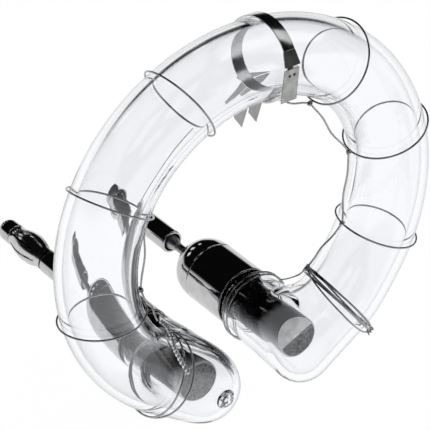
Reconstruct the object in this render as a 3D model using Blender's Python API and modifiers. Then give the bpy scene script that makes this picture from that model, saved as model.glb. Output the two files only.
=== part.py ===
"""Ring flash tube: a clear glass ring on two plug-in legs, with its trigger wire and contact strap.

The ring stands upright in the XZ plane with its front towards -Y. The legs leave the gap at the bottom
of the ring and run back along +Y. The origin is on the ground, midway under the part.
Ring angles start straight down and grow towards +X. Turn angles, around the glass, start on the
ring's outer side and grow towards its front. Stations down a leg count back from the ring's plane.
"""
from math import atan2, cos, pi, radians, sin, tau

import bmesh
import bpy
from mathutils import Matrix, Vector

MM = 0.001
UP = Vector((0.0, 0.0, 1.0))
BACK = Vector((0.0, 1.0, 0.0))
MERGE_DISTANCE = 0.001 * MM

# Where the ring's centre stands over the origin
RING_CENTRE = Vector((0.0, -22.05, 30.643)) * MM

# Glass ring and elbows
RING_RADIUS = 26.3 * MM
TUBE_RADIUS = 6.0 * MM
GLASS_WALL = 1.2 * MM
CROTCH_RADIUS = 1.2 * MM
CORNER_SHIFT = 1.5 * MM
ELBOW_ANGLE = radians(36.6)
DRAW_IN_ANGLE = radians(57.0)
DRAW_IN_RATE = 2.94 * MM
ELBOW_END_RADIUS = 5.5 * MM
ELBOW_FORWARD = 0.7 * MM
GLASS_SIDES = 16
TOP_STEPS = 9
LOWER_STEPS = 5
ELBOW_STEPS = 7

# Glass of a leg behind its elbow: station, outer radius and inner radius in millimetres
LEG_PROFILE = (
    (8.8, 5.25, 4.15),
    (10.6, 5.05, 3.95),
    (12.2, 5.0, 3.9),
    (12.6, 4.4, 3.6),
    (18.0, 4.4, 3.5),
    (19.6, 3.9, 2.9),
    (21.2, 2.2, 1.3),
    (23.0, 1.9, 1.05),
)
LEG_GLASS_RADIUS = 5.15 * MM

# Turned pieces along a leg: station and radius in millimetres, front to back
EXHAUST_TIP_OUTLINE = ((-0.55, 0.8), (-0.45, 1.15), (-0.1, 1.45), (0.3, 1.6), (1.0, 1.6))
PELLET_STATIONS = (-0.6, -0.35, 11.0, 12.1, 12.6)
PELLET_TAPER = (0.35, 0.0, 0.0, 0.5, 1.2)
COLLAR_OUTLINE = ((13.1, 1.5), (13.3, 1.7), (15.4, 1.7), (15.6, 1.5))
ROD_OUTLINE = ((12.9, 0.6), (13.1, 0.7), (30.05, 0.7), (30.2, 0.55))
BEAD_OUTLINE = ((23.3, 1.7), (23.7, 1.9), (24.6, 1.8), (25.0, 1.4))
CEMENT_OUTLINE = ((22.0, 4.2), (23.0, 4.2), (24.4, 3.7), (25.3, 3.0))
CAP_OUTLINE = (
    (13.0, 4.85),
    (13.2, 5.0),
    (21.3, 5.0),
    (21.45, 4.88),
    (21.65, 4.88),
    (21.8, 5.0),
    (23.2, 4.9),
    (24.4, 4.55),
    (25.3, 4.0),
    (26.1, 3.4),
    (26.4, 3.0),
    (26.4, 1.1),
)
SOLDER_OUTLINE = ((30.5, 0.72), (31.1, 0.85), (31.9, 1.12), (32.7, 1.2), (33.3, 1.2))
SLEEVE_OUTLINE = ((32.1, 1.7), (32.25, 1.85), (38.55, 1.85), (38.7, 1.7))
PIN_OUTLINE = (
    (33.7, 1.2),
    (47.9, 1.2),
    (47.9, 1.65),
    (48.05, 1.75),
    (50.1, 1.75),
    (50.7, 1.45),
    (51.2, 1.0),
    (51.4, 0.75),
)
PELLET_RADIUS = {"left": 3.5, "right": 3.35}
EXHAUST_TIP_OFFSET = 1.0 * MM
COLLAR_WALL = 0.5 * MM
BEAD_WALL = 0.35 * MM
CEMENT_WALL = 1.2 * MM
CAP_WALL = 0.35 * MM
SLEEVE_WALL = 0.33 * MM

# Spring cage of a plug
CAGE_FRONT = 39.0
LEAF_FRONT = 40.6
LEAF_BACK = 46.9
CAGE_BACK = 47.6
CAGE_RADIUS = 1.76
CAGE_WALL = 0.24 * MM
LEAF_BULGE = 0.62
LEAF_ROWS = 5
LEAF_COUNT = 8
SLOT_WIDTH = 0.42 * MM
SLOT_DEPTH = 2.0 * MM

# Trigger wire
GAP = 0.3 * MM
WIRE_RADIUS = 0.15 * MM
TWIST_RADIUS = 0.32 * MM
WIRE_LINE = TUBE_RADIUS + GAP + WIRE_RADIUS
SPINE_LINE = TUBE_RADIUS + 1.0 * MM
LOOP_STEPS = 16
LEG_TURNS = (("wire_leg_turn_front", 9.9 * MM), ("wire_leg_turn_back", 10.7 * MM))

# Single turns of wire: name, ring angle, lean of the turn's plane and the turn angle that it leans to
WIRE_LOOPS = (
    ("wire_loop_lower_right", 67.3, 1.8, 300.0),
    ("wire_loop_mid_right", 104.2, 1.3, 357.0),
    ("wire_loop_upper_right", 143.9, 0.6, 288.0),
    ("wire_loop_upper_left", 205.9, 1.5, 309.0),
    ("wire_loop_mid_left", 243.8, 1.8, 247.0),
    ("wire_loop_lower_left", 285.3, 2.0, 205.0),
    ("wire_end_turn_left_outer", 322.3, 1.0, 56.0),
    ("wire_end_turn_left_inner", 319.6, 1.0, 346.0),
    ("wire_end_turn_right_outer", 39.0, 1.0, 270.0),
    ("wire_end_turn_right_inner", 41.0, 1.2, 225.0),
)

# Lengthwise wires: ring angle and turn angle of each point that they are stretched between
WIRE_SPINES = (
    ("wire_spine_left", ((205.9, 180.0), (244.0, 180.0), (285.0, 180.0), (311.5, 196.0))),
    ("wire_spine_right", ((169.5, 180.0), (143.9, 180.0), (104.2, 180.0), (67.3, 180.0), (42.8, 203.0))),
)

# Ring angle and turn angle of places along the twisted tail
TAIL_PLACES = (
    (310.2, 188.0),
    (309.0, 170.0),
    (308.8, 152.0),
    (309.8, 138.0),
    (313.8, 127.0),
    (318.5, 118.0),
)

# Contact strap: the band round the glass, and flat pieces with outlines in millimetres
STRAP_ANGLE = radians(174.0)
STRAP_LEAN = 0.09
STRAP_LEAN_TURN = radians(295.0)
STRAP_WIDTH = 2.0
STRAP_THICKNESS = 0.2 * MM
CLIP_TURN = radians(66.0)
CLIP_OUTLINE = ((-1.0, 1.15), (1.0, 1.15), (1.35, -1.15), (-1.35, -1.15))
CLIP_THICKNESS = 0.3 * MM
CLIP_X = 2.97 * MM
TONGUE_THICKNESS = 0.15 * MM
FRONT_TONGUE_TOP = Vector((2.75, -6.95, 27.6)) * MM
FRONT_TONGUE_OUTLINE = ((-1.3, 0.0), (1.3, 0.0), (0.85, -5.1), (-1.9, -5.1))
BRIDGE_TOP = Vector((2.6, 4.9, 21.3)) * MM
BRIDGE_OUTLINE = ((-1.0, 0.0), (0.9, 0.0), (4.95, -2.35), (0.1, -2.35))
REAR_TONGUE_TOPS = {
    "contact_tongue_rear_left": Vector((3.8, 4.9, 18.6)) * MM,
    "contact_tongue_rear_right": Vector((6.37, 4.9, 18.6)) * MM,
}
REAR_TONGUE_OUTLINE = ((-1.12, 0.0), (1.12, 0.0), (0.0, -3.6), (-1.0, -6.45), (-2.4, -4.35), (-2.25, -3.7))

# Colour, roughness and metallic value of each finish
FINISHES = {
    "clear_glass": ((0.93, 0.95, 0.96), 0.02, 0.0),
    "chrome": ((0.82, 0.82, 0.83), 0.07, 1.0),
    "spring_steel": ((0.55, 0.55, 0.54), 0.32, 1.0),
    "trigger_wire": ((0.40, 0.40, 0.41), 0.22, 1.0),
    "tungsten": ((0.30, 0.30, 0.31), 0.30, 1.0),
    "polished_electrode": ((0.45, 0.45, 0.46), 0.18, 1.0),
    "nickel": ((0.58, 0.57, 0.54), 0.25, 1.0),
    "solder": ((0.42, 0.42, 0.44), 0.45, 1.0),
    "cement": ((0.80, 0.78, 0.74), 0.90, 0.0),
}


def clear_scene():
    """Removes every object of the startup scene."""
    for item in list(bpy.data.objects):
        bpy.data.objects.remove(item)


def new_collection(name):
    """Makes a collection in the scene."""
    collection = bpy.data.collections.new(name)
    bpy.context.scene.collection.children.link(collection)
    return collection


def finish(name):
    """Returns the named finish, made on its first use."""
    material = bpy.data.materials.get(name)
    if material:
        return material
    colour, roughness, metallic = FINISHES[name]
    material = bpy.data.materials.new(name)
    material.use_nodes = True
    shader = material.node_tree.nodes["Principled BSDF"]
    shader.inputs["Base Color"].default_value = (*colour, 1.0)
    shader.inputs["Roughness"].default_value = roughness
    shader.inputs["Metallic"].default_value = metallic
    return material


def add_object(name, data, finish_name, location=(0.0, 0.0, 0.0)):
    """Links a new object with its finish into the part's collection."""
    item = bpy.data.objects.new(name, data)
    item.location = location
    data.materials.append(finish(finish_name))
    PART.objects.link(item)
    return item


def make_cutter(item):
    """Moves an object to the cutters' collection, out of the model."""
    PART.objects.unlink(item)
    CUTTERS.objects.link(item)
    item.hide_render = True
    item.display_type = "WIRE"


def combine(item, other, operation):
    """Adds a Boolean that joins or cuts an item with another object."""
    modifier = item.modifiers.new(other.name, "BOOLEAN")
    modifier.operation = operation
    modifier.object = other


# ---- Glass ring, elbows and legs ----

def ring_radius(angle):
    """Radius of the ring's centre line, drawn in a little next to the elbows."""
    from_bottom = min(angle, tau - angle)
    return RING_RADIUS - DRAW_IN_RATE * max(0.0, DRAW_IN_ANGLE - from_bottom) ** 2


def ring_forward(angle):
    """How far the ring's centre line stands in front of the ring's plane, next to the elbows."""
    from_bottom = min(angle, tau - angle)
    share = min(max((DRAW_IN_ANGLE - from_bottom) / (DRAW_IN_ANGLE - ELBOW_ANGLE), 0.0), 1.0)
    return ELBOW_FORWARD * share * share * (3.0 - 2.0 * share)


def radial(angle):
    """Unit vector from the ring's centre towards a ring angle."""
    return Vector((sin(angle), 0.0, -cos(angle)))


def ring_point(angle, turn, distance):
    """Point at a distance from the ring's centre line, at a turn angle around the glass."""
    outward = radial(angle) * (ring_radius(angle) + distance * cos(turn))
    return RING_CENTRE + outward - BACK * (distance * sin(turn) + ring_forward(angle))


class Elbow:
    """The right-hand elbow, where the ring's glass turns back into the leg along +Y."""

    def __init__(self):
        step = 1e-5
        start = radial(ELBOW_ANGLE) * ring_radius(ELBOW_ANGLE)
        before = radial(ELBOW_ANGLE + step) * ring_radius(ELBOW_ANGLE + step)
        self.heading = (start - before).normalized()
        self.side = Vector((-self.heading.z, 0.0, self.heading.x))
        if self.side.dot(start) < 0.0:
            self.side = -self.side
        self.bend = TUBE_RADIUS + CROTCH_RADIUS
        self.pivot = start + BACK * (self.bend - ELBOW_FORWARD)
        self.corner = start + self.heading * self.bend

    def outer_reach(self, sweep, radius):
        """Distance from the pivot to the elbow's outer wall: two straight walls with a round corner."""
        centre = self.bend + CORNER_SHIFT
        tangent = atan2(centre, self.bend + radius)
        if sweep < tangent or sweep > pi / 2 - tangent:
            return (self.bend + radius) / max(cos(sweep), sin(sweep))
        along = centre * (cos(sweep) + sin(sweep))
        return along + ((radius - CORNER_SHIFT) ** 2 - 2.0 * centre ** 2 + along ** 2) ** 0.5

    def section(self, sweep, wall):
        """Centre, two axes, radius and half length of the flat sides of a section through the elbow."""
        share = max(0.0, sweep / (pi / 4) - 1.0)
        radius = TUBE_RADIUS + (ELBOW_END_RADIUS - TUBE_RADIUS) * share - wall
        inner = self.bend - radius
        outer = self.outer_reach(sweep, radius)
        across = self.heading * sin(sweep) - BACK * cos(sweep)
        centre = self.pivot + across * (inner + outer) / 2.0
        return centre, across, self.side, radius, (outer - inner) / 2.0 - radius


ELBOW = Elbow()


def leg_point(side, station):
    """Point on a leg's axis; side is -1 on the left and 1 on the right."""
    return RING_CENTRE + Vector((side * ELBOW.corner.x, station, ELBOW.corner.z))


def ring_stations():
    """Ring angles of the glass sections, from the top down the right side to just before the elbow."""
    widest = pi / 2
    top = [pi - widest * i / TOP_STEPS for i in range(TOP_STEPS)]
    lower = [widest - (widest - ELBOW_ANGLE) * i / LOWER_STEPS for i in range(LOWER_STEPS)]
    return top + lower


def half_sections(inside):
    """Sections from the top of the ring down its right side to the leg's end."""
    wall = GLASS_WALL if inside else 0.0
    radius = TUBE_RADIUS - wall
    sections = []
    for angle in ring_stations():
        centre = radial(angle) * ring_radius(angle) - BACK * ring_forward(angle)
        sections.append((centre, -BACK, radial(angle), radius, 0.0))
    sections += [ELBOW.section(pi / 2 * i / ELBOW_STEPS, wall) for i in range(ELBOW_STEPS + 1)]
    for station, outer, inner in LEG_PROFILE:
        radius = (inner if inside else outer) * MM
        centre = Vector((ELBOW.corner.x, station * MM, ELBOW.corner.z))
        sections.append((centre, ELBOW.heading, ELBOW.side, radius, 0.0))
    return sections


def loft_points(sections):
    """Points around each section, with its mirror image across the ring's upright plane added."""
    rings = []
    for centre, across, side, radius, flat in sections:
        ring = []
        for k in range(GLASS_SIDES):
            turn = tau * k / GLASS_SIDES
            stretch = flat * min(max(2.0 * sin(turn), -1.0), 1.0)
            ring.append(centre + side * radius * cos(turn) + across * (radius * sin(turn) + stretch))
        rings.append(ring)
    mirrored = [[Vector((-p.x, p.y, p.z)) for p in ring] for ring in rings[:0:-1]]
    return mirrored + rings


def ring_of_faces(first, second):
    """Faces between two rows of points, given by each row's first point."""
    faces = []
    for k in range(GLASS_SIDES):
        after = (k + 1) % GLASS_SIDES
        faces.append((first + k, first + after, second + after, second + k))
    return faces


def glass_envelope():
    """Builds the hollow glass as one loft, then fuses the exhaust tip onto the left elbow."""
    outside = loft_points(half_sections(inside=False))
    inside = loft_points(half_sections(inside=True))
    count = len(outside)
    faces = []
    for layer in (0, count):
        for i in range(count - 1):
            faces += ring_of_faces((layer + i) * GLASS_SIDES, (layer + i + 1) * GLASS_SIDES)
    faces += ring_of_faces(0, count * GLASS_SIDES)
    faces += ring_of_faces((count - 1) * GLASS_SIDES, (2 * count - 1) * GLASS_SIDES)

    mesh = bpy.data.meshes.new("glass_envelope")
    mesh.from_pydata([point for ring in outside + inside for point in ring], [], faces)
    shape = bmesh.new()
    shape.from_mesh(mesh)
    bmesh.ops.recalc_face_normals(shape, faces=shape.faces)
    shape.to_mesh(mesh)
    shape.free()
    mesh.shade_smooth()
    mesh.set_sharp_from_angle(angle=radians(35.0))
    envelope = add_object("glass_envelope", mesh, "clear_glass", RING_CENTRE)

    front = leg_point(-1, -TUBE_RADIUS - ELBOW_FORWARD)
    front.x += EXHAUST_TIP_OFFSET
    tip = turned("exhaust_tip", EXHAUST_TIP_OUTLINE, "clear_glass", front, sides=12)
    make_cutter(tip)
    combine(envelope, tip, "UNION")


# ---- Turned pieces ----

def turned(name, outline, finish_name, location, sides=20, wall=0.0, axis=BACK):
    """Turns an outline of (station, radius) pairs in millimetres about an axis.

    With a wall, the outline is the outside of a shell, open at both ends. Without one, it is solid.
    """
    profile = [(radius * MM, 0.0, station * MM) for station, radius in reversed(outline)]
    if not wall:
        profile = [(0.0, 0.0, profile[0][2])] + profile + [(0.0, 0.0, profile[-1][2])]
    mesh = bpy.data.meshes.new(name)
    mesh.from_pydata(profile, [(i, i + 1) for i in range(len(profile) - 1)], [])
    item = add_object(name, mesh, finish_name, location)
    item.rotation_euler = UP.rotation_difference(axis).to_euler()
    screw = item.modifiers.new("turn", "SCREW")
    screw.steps = sides
    screw.render_steps = sides
    screw.use_merge_vertices = True
    screw.merge_threshold = MERGE_DISTANCE
    if wall:
        shell = item.modifiers.new("wall", "SOLIDIFY")
        shell.thickness = wall
        shell.use_even_offset = True
    return item


def electrode(side, prefix):
    """A sintered pellet with a crimped collar on the lead rod that runs out to the plug."""
    origin = leg_point(side, 0.0)
    radius = PELLET_RADIUS[prefix]
    pellet = [(station, radius - taper) for station, taper in zip(PELLET_STATIONS, PELLET_TAPER)]
    turned(prefix + "_electrode_pellet", pellet, "polished_electrode", origin, sides=24)
    turned(prefix + "_electrode_collar", COLLAR_OUTLINE, "nickel", origin, sides=16, wall=COLLAR_WALL)
    turned(prefix + "_lead_rod", ROD_OUTLINE, "tungsten", origin, sides=14)


def seal_and_cap(side, prefix):
    """The graded glass bead behind the stem, the cap over the leg's end and the cement between them."""
    origin = leg_point(side, 0.0)
    turned(prefix + "_seal_bead", BEAD_OUTLINE, "clear_glass", origin, sides=14, wall=BEAD_WALL)
    turned(prefix + "_cap_cement", CEMENT_OUTLINE, "cement", origin, sides=18, wall=CEMENT_WALL)
    turned(prefix + "_end_cap", CAP_OUTLINE, "chrome", origin, sides=24, wall=CAP_WALL)


def plug(side, prefix):
    """The solder joint, sleeve and nosed pin of a plug."""
    origin = leg_point(side, 0.0)
    turned(prefix + "_solder_joint", SOLDER_OUTLINE, "solder", origin, sides=16)
    turned(prefix + "_plug_sleeve", SLEEVE_OUTLINE, "chrome", origin, sides=20, wall=SLEEVE_WALL)
    turned(prefix + "_plug_pin", PIN_OUTLINE, "chrome", origin, sides=20)


def slot_cutter(prefix, location, rotation):
    """A star of blocks that saws the slots between the leaves of a spring cage."""
    shape = bmesh.new()
    length = (LEAF_BACK - LEAF_FRONT) * MM
    middle = (LEAF_FRONT + LEAF_BACK) / 2.0 * MM
    for i in range(LEAF_COUNT):
        turn = Matrix.Rotation(tau * i / LEAF_COUNT, 4, "Z")
        place = Matrix.Translation((CAGE_RADIUS * MM, 0.0, middle))
        size = Matrix.Diagonal((SLOT_DEPTH, SLOT_WIDTH, length, 1.0))
        bmesh.ops.create_cube(shape, size=1.0, matrix=turn @ place @ size)
    mesh = bpy.data.meshes.new(prefix + "_cage_slots")
    shape.to_mesh(mesh)
    shape.free()
    cutter = add_object(prefix + "_cage_slots", mesh, "spring_steel", location)
    cutter.rotation_euler = rotation
    make_cutter(cutter)
    return cutter


def spring_cage(side, prefix):
    """A thin barrel that turns on the pin, slotted into bowed leaves between two collars."""
    leaf_length = LEAF_BACK - LEAF_FRONT
    outline = [(CAGE_FRONT, CAGE_RADIUS)]
    for i in range(LEAF_ROWS + 1):
        share = i / LEAF_ROWS
        outline.append((LEAF_FRONT + leaf_length * share, CAGE_RADIUS + LEAF_BULGE * sin(pi * share)))
    outline.append((CAGE_BACK, CAGE_RADIUS))
    origin = leg_point(side, 0.0)
    cage = turned(prefix + "_spring_cage", outline, "spring_steel", origin, sides=24, wall=CAGE_WALL)
    combine(cage, slot_cutter(prefix, origin, cage.rotation_euler), "DIFFERENCE")


# ---- Trigger wire ----

def wire(name, points, closed, radius=WIRE_RADIUS):
    """A round wire through the given points."""
    curve = bpy.data.curves.new(name, "CURVE")
    curve.dimensions = "3D"
    curve.bevel_depth = radius
    curve.bevel_resolution = 2
    curve.use_fill_caps = not closed
    spline = curve.splines.new("POLY")
    spline.points.add(len(points) - 1)
    for point, position in zip(spline.points, points):
        point.co = (*position, 1.0)
    spline.use_cyclic_u = closed
    add_object(name, curve, "trigger_wire")


def wire_loops():
    """The single turns round the ring and the paired turns at its two ends."""
    for name, angle, lean, lean_turn in WIRE_LOOPS:
        points = []
        for i in range(LOOP_STEPS):
            turn = tau * i / LOOP_STEPS
            station = radians(angle) + radians(lean) * cos(turn - radians(lean_turn))
            points.append(ring_point(station, turn, WIRE_LINE))
        wire(name, points, closed=True)


def leg_loops():
    """The two turns round the right leg, just in front of its cap."""
    line = LEG_GLASS_RADIUS + GAP + WIRE_RADIUS
    for name, station in LEG_TURNS:
        centre = leg_point(1, station)
        turns = [tau * i / LOOP_STEPS for i in range(LOOP_STEPS)]
        wire(name, [centre + Vector((line * cos(t), 0.0, line * sin(t))) for t in turns], closed=True)


def spines():
    """The lengthwise wires that cut straight across the inside of the ring from turn to turn."""
    for name, places in WIRE_SPINES:
        points = [ring_point(radians(angle), radians(turn), SPINE_LINE) for angle, turn in places]
        wire(name, points, closed=False)


def twisted_tail():
    """The left spine's twisted end, which lies over the front of the glass between the end turns."""
    line = WIRE_LINE + WIRE_RADIUS + TWIST_RADIUS + GAP / 2.0
    points = [ring_point(radians(angle), radians(turn), line) for angle, turn in TAIL_PLACES]
    wire("wire_twisted_tail", points, closed=False, radius=TWIST_RADIUS)


# ---- Contact strap ----

def strap_band():
    """The flat spring band round the glass at the top of the ring, leaning a little."""
    inner = (TUBE_RADIUS + GAP) / MM
    outer = inner + STRAP_THICKNESS / MM
    edge = STRAP_WIDTH / 2.0
    tangent = Vector((cos(STRAP_ANGLE), 0.0, sin(STRAP_ANGLE)))
    lean = radial(STRAP_ANGLE) * cos(STRAP_LEAN_TURN) - BACK * sin(STRAP_LEAN_TURN)
    axis = (tangent - lean * STRAP_LEAN).normalized()
    centre = RING_CENTRE + radial(STRAP_ANGLE) * RING_RADIUS
    turned("trigger_band", ((-edge, outer), (edge, outer)), "spring_steel", centre, sides=28,
           wall=STRAP_THICKNESS, axis=axis)


def plate(name, outline, thickness, location, turn):
    """A flat plate from an outline of (across, up) points in millimetres.

    The outline's origin is on the location. A quarter turn about X stands the plate upright.
    """
    curve = bpy.data.curves.new(name, "CURVE")
    curve.dimensions = "2D"
    curve.fill_mode = "BOTH"
    curve.extrude = thickness / 2.0
    spline = curve.splines.new("POLY")
    spline.points.add(len(outline) - 1)
    for point, (across, up) in zip(spline.points, outline):
        point.co = (across * MM, up * MM, 0.0, 1.0)
    spline.use_cyclic_u = True
    item = add_object(name, curve, "spring_steel", location)
    item.rotation_euler = (turn, 0.0, 0.0)


def strap_contacts():
    """The clip on the band's front, the bridge on its back and the three springy contact tongues."""
    upright = pi / 2
    clip_line = TUBE_RADIUS + GAP + STRAP_THICKNESS + GAP + CLIP_THICKNESS / 2.0
    clip_place = ring_point(STRAP_ANGLE, CLIP_TURN, clip_line)
    clip_place.x = CLIP_X
    plate("strap_clip", CLIP_OUTLINE, CLIP_THICKNESS, clip_place, CLIP_TURN)
    plate("contact_tongue_front", FRONT_TONGUE_OUTLINE, TONGUE_THICKNESS,
          RING_CENTRE + FRONT_TONGUE_TOP, upright)
    plate("rear_contact_bridge", BRIDGE_OUTLINE, STRAP_THICKNESS, RING_CENTRE + BRIDGE_TOP, upright)
    for name, top in REAR_TONGUE_TOPS.items():
        plate(name, REAR_TONGUE_OUTLINE, TONGUE_THICKNESS, RING_CENTRE + top, upright)


clear_scene()
PART = new_collection("ring_flash_tube")
CUTTERS = new_collection("cutters")
glass_envelope()
for SIDE, PREFIX in ((-1, "left"), (1, "right")):
    electrode(SIDE, PREFIX)
    seal_and_cap(SIDE, PREFIX)
    plug(SIDE, PREFIX)
    spring_cage(SIDE, PREFIX)
wire_loops()
leg_loops()
spines()
twisted_tail()
strap_band()
strap_contacts()
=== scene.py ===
"""Looks of a ring flash tube: clear glass ring, electrodes, caps, plugs, trigger wire and contact strap.

Ring angles start straight down and grow towards +X. Turn angles, around the glass, start on the
ring's outer side and grow towards its front. Stations down a leg count back from the ring's plane.
Lengths in the classes' fields are in millimetres, and meshes are made in metres.
"""
import logging
from dataclasses import dataclass
from enum import Enum
from math import atan2, cos, pi, radians, sin, tanh, tau
from typing import Sequence

import bmesh
import bpy
from mathutils import Matrix, Vector


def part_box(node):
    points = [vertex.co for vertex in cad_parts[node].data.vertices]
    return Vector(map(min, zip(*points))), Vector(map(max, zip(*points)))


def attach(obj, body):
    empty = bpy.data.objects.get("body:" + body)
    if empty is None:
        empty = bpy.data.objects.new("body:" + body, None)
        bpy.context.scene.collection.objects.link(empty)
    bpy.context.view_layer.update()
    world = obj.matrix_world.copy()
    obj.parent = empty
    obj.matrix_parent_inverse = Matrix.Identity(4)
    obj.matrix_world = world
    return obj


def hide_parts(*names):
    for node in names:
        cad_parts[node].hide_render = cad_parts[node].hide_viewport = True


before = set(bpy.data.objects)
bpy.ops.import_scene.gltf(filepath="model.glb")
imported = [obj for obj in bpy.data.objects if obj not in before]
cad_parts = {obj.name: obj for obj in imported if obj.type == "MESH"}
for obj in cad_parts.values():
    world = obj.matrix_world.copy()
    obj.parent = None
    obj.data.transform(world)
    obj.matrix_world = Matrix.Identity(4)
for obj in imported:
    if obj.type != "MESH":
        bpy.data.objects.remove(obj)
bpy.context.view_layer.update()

MM = 0.001
BACK = Vector((0.0, 1.0, 0.0))
LOG = logging.getLogger("ring_flash_tube")
GLASS_REFRACTION = 1.47
WHITE = (1.0, 1.0, 1.0, 1.0)
Socket = bpy.types.NodeSocket
Outline = Sequence[tuple[float, float]]
Triple = tuple[float, float, float]


# ---- Shader tools ----

class Val:
    """A number in a node tree. Arithmetic on it adds Math nodes."""

    def __init__(self, shader: "Shader", socket: Socket):
        """Wraps a socket of the given shader."""
        self.shader = shader
        self.socket = socket

    def math(self, operation: str, *others: "Val | float", first: bool = True) -> "Val":
        """Adds a Math node.

        Args:
            operation: the Math node's operation.
            others: the other operands.
            first: whether this value is the first operand.

        Returns:
            The node's value.
        """
        operands = [self, *others] if first else [*others, self]
        made = self.shader.node("ShaderNodeMath", {"operation": operation}, dict(enumerate(operands)))
        return Val(self.shader, made.outputs[0])

    def __add__(self, other: "Val | float") -> "Val":
        """Adds."""
        return self.math("ADD", other)

    __radd__ = __add__

    def __sub__(self, other: "Val | float") -> "Val":
        """Takes the other away."""
        return self.math("SUBTRACT", other)

    def __rsub__(self, other: "Val | float") -> "Val":
        """Is taken away from the other."""
        return self.math("SUBTRACT", other, first=False)

    def __mul__(self, other: "Val | float") -> "Val":
        """Multiplies."""
        return self.math("MULTIPLY", other)

    __rmul__ = __mul__

    def __pow__(self, other: float) -> "Val":
        """Raises to a power."""
        return self.math("POWER", other)

    def step(self, low: float, high: float) -> "Val":
        """Eases from 0 at low to 1 at high."""
        made = self.shader.node("ShaderNodeMapRange", {"interpolation_type": "SMOOTHSTEP"},
                                {"Value": self, "From Min": low, "From Max": high})
        return Val(self.shader, made.outputs["Result"])


class Shader:
    """The node tree of a material or a world, built from Python."""

    def __init__(self, owner: "bpy.types.Material | bpy.types.World"):
        """Empties the owner's node tree."""
        owner.use_nodes = True
        self.owner = owner
        self.tree = owner.node_tree
        self.tree.nodes.clear()

    def node(self, kind: str, settings: dict | None = None, inputs: dict | None = None) -> bpy.types.Node:
        """Adds a node.

        Args:
            kind: the node's type.
            settings: its properties, set first.
            inputs: values, Vals or sockets, by input name or number.

        Returns:
            The new node.
        """
        made = self.tree.nodes.new(kind)
        for key, value in (settings or {}).items():
            setattr(made, key, value)
        for key, value in (inputs or {}).items():
            socket = made.inputs[key]
            if isinstance(value, Val):
                value = value.socket
            if isinstance(value, Socket):
                self.tree.links.new(value, socket)
            else:
                socket.default_value = value
        return made

    def place(self, stretch: Sequence[float] = (1.0, 1.0, 1.0)) -> Socket:
        """Position on the piece in metres, stretched along each axis."""
        coordinates = self.node("ShaderNodeTexCoord").outputs["Object"]
        factors = {0: coordinates, 1: tuple(stretch)}
        return self.node("ShaderNodeVectorMath", {"operation": "MULTIPLY"}, factors).outputs[0]

    def axis(self, name: str) -> Val:
        """One coordinate of the position on the piece, in metres."""
        split = self.node("ShaderNodeSeparateXYZ", None, {0: self.place()})
        return Val(self, split.outputs[name])

    def noise(self, size: float, detail: float = 3.0, stretch: Sequence[float] = (1.0, 1.0, 1.0)) -> Val:
        """Noise from 0 to 1 whose lumps are about the given size in millimetres."""
        made = self.node("ShaderNodeTexNoise", None,
                         {"Vector": self.place(stretch), "Scale": 1.0 / (size * MM), "Detail": detail})
        return Val(self, made.outputs["Fac"])

    def cells(self, size: float) -> Val:
        """Distance to the nearest grain, for grains of the given size in millimetres."""
        made = self.node("ShaderNodeTexVoronoi", None, {"Vector": self.place(), "Scale": 1.0 / (size * MM)})
        return Val(self, made.outputs["Distance"])

    def blend(self, mask: Val, low: "Sequence[float] | Socket",
              high: "Sequence[float] | Socket") -> Socket:
        """Colour between two colours, by a mask from 0 to 1."""
        low, high = (c if isinstance(c, Socket) else (*c, 1.0) for c in (low, high))
        made = self.node("ShaderNodeMix", {"data_type": "RGBA"}, {"Factor": mask, 6: low, 7: high})
        return made.outputs[2]

    def bump(self, height: Val, depth: float) -> Socket:
        """Normal of a surface raised by a height from 0 to 1, times a depth in millimetres."""
        made = self.node("ShaderNodeBump", None, {"Height": height, "Distance": depth * MM, "Strength": 1.0})
        return made.outputs["Normal"]

    def surface(self, **inputs: object) -> bpy.types.Material:
        """Ends the material in a Principled shader.

        Args:
            inputs: the shader's inputs, with underscores for spaces.

        Returns:
            The material.
        """
        named = {key.replace("_", " "): value for key, value in inputs.items()}
        for key, value in named.items():
            if isinstance(value, tuple) and len(value) == 3:
                named[key] = (*value, 1.0)
        shader = self.node("ShaderNodeBsdfPrincipled", None, named)
        self.node("ShaderNodeOutputMaterial", None, {"Surface": shader.outputs[0]})
        return self.owner


# ---- Finishes ----

class Grain(Enum):
    """Which way the fine lines of a metal run."""

    EVEN = (1.0, 1.0, 1.0)
    AROUND = (0.12, 1.0, 0.12)
    ALONG = (1.0, 0.08, 1.0)
    UPRIGHT = (1.0, 1.0, 0.08)


@dataclass(frozen=True)
class Metal:
    """A plated, drawn or rolled metal with fine lines and faint stains."""

    tint: Triple
    shade: Triple
    roughness: tuple[float, float]
    grain: Grain = Grain.EVEN
    line_width: float = 0.05
    relief: float = 0.001
    stain_size: float = 1.6

    def make(self, shader: Shader) -> bpy.types.Material:
        """Builds the material."""
        lines = shader.noise(self.line_width, 2.0, self.grain.value)
        stains = shader.noise(self.stain_size, 4.0).step(0.35, 0.7)
        low, high = self.roughness
        return shader.surface(
            Base_Color=shader.blend(stains * 0.7 + lines * 0.3, self.tint, self.shade),
            Metallic=1.0,
            Roughness=low + (high - low) * (lines * 0.5 + stains * 0.5),
            Normal=shader.bump(lines, self.relief),
        )


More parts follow.
